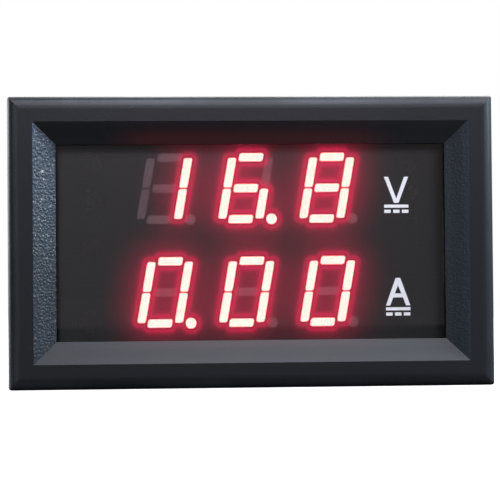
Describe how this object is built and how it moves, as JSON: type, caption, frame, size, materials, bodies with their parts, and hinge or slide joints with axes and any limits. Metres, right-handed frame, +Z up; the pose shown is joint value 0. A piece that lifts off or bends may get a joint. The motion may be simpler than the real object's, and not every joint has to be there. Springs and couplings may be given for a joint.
{
  "type": "digital panel meter",
  "caption": "Rectangular snap-in panel meter with stacked red seven-segment rows, marked V and A, behind a smoked window; open rear with board, headers, shunt and trimmers.",
  "frame": {"origin": "centre of the panel cut-out, in the plane of the seat behind the flange", "axes": "+X to the right and +Z up as the display is read, +Y from the display towards the rear"},
  "size_m": [0.048, 0.021, 0.0288],
  "materials": {
    "case_plastic": "black moulded plastic with a fine spark-eroded grain",
    "smoked_window": "smoked acrylic, polished",
    "display_plastic": "dark grey display face",
    "lit_segment": "red light pipes, lit",
    "unlit_segment": "milky light pipes, dark",
    "board_laminate": "green solder mask on glass-fibre laminate",
    "solder": "bright solder",
    "tinned_metal": "tinned leads and caps",
    "package_black": "moulded epoxy",
    "resistor_glaze": "black glaze",
    "capacitor_ceramic": "bare tan ceramic",
    "can_aluminium": "drawn aluminium",
    "trimmer_plastic": "pale thermoplastic",
    "rotor_metal": "brass",
    "header_nylon": "natural white nylon",
    "shunt_alloy": "drawn copper-manganese resistance wire"
  },
  "bodies": {
    "case": {"housing": "case_plastic", "lens": "smoked_window", "upper_display": "display_plastic", "lower_display": "display_plastic", "upper_lit_segments": "lit_segment", "upper_unlit_segments": "unlit_segment", "lower_lit_segments": "lit_segment", "lower_unlit_segments": "unlit_segment", "upper_display_pins": "tinned_metal", "lower_display_pins": "tinned_metal", "circuit_board": "board_laminate", "display_solder": "solder", "connector_solder": "solder", "controller_body": "package_black", "controller_leads": "tinned_metal", "amplifier_body": "package_black", "amplifier_leads": "tinned_metal", "regulator_body": "package_black", "regulator_leads": "tinned_metal", "diode_body": "package_black", "diode_terminals": "tinned_metal", "resistor_bodies": "resistor_glaze", "resistor_end_caps": "tinned_metal", "capacitor_bodies": "capacitor_ceramic", "capacitor_end_caps": "tinned_metal", "filter_capacitor_base": "package_black", "filter_capacitor_can": "can_aluminium", "voltage_trimmer_body": "trimmer_plastic", "voltage_trimmer_terminals": "tinned_metal", "current_trimmer_body": "trimmer_plastic", "current_trimmer_terminals": "tinned_metal", "signal_header": "header_nylon", "signal_pins": "tinned_metal", "current_header": "header_nylon", "current_pins": "tinned_metal", "shunt": "shunt_alloy"},
    "voltage_rotor": {"voltage_trimmer_rotor": "rotor_metal"},
    "current_rotor": {"current_trimmer_rotor": "rotor_metal"}
  },
  "joints": [
    {"name": "voltage_trim", "type": "hinge", "parent": "case", "child": "voltage_rotor", "pos_m": [0.0127, 0.0105, -0.0076], "axis": [0, 1, 0], "range_deg": [-130, 130]},
    {"name": "current_trim", "type": "hinge", "parent": "case", "child": "current_rotor", "pos_m": [0.0184, 0.0105, -0.0076], "axis": [0, 1, 0], "range_deg": [-130, 130]}
  ]
}
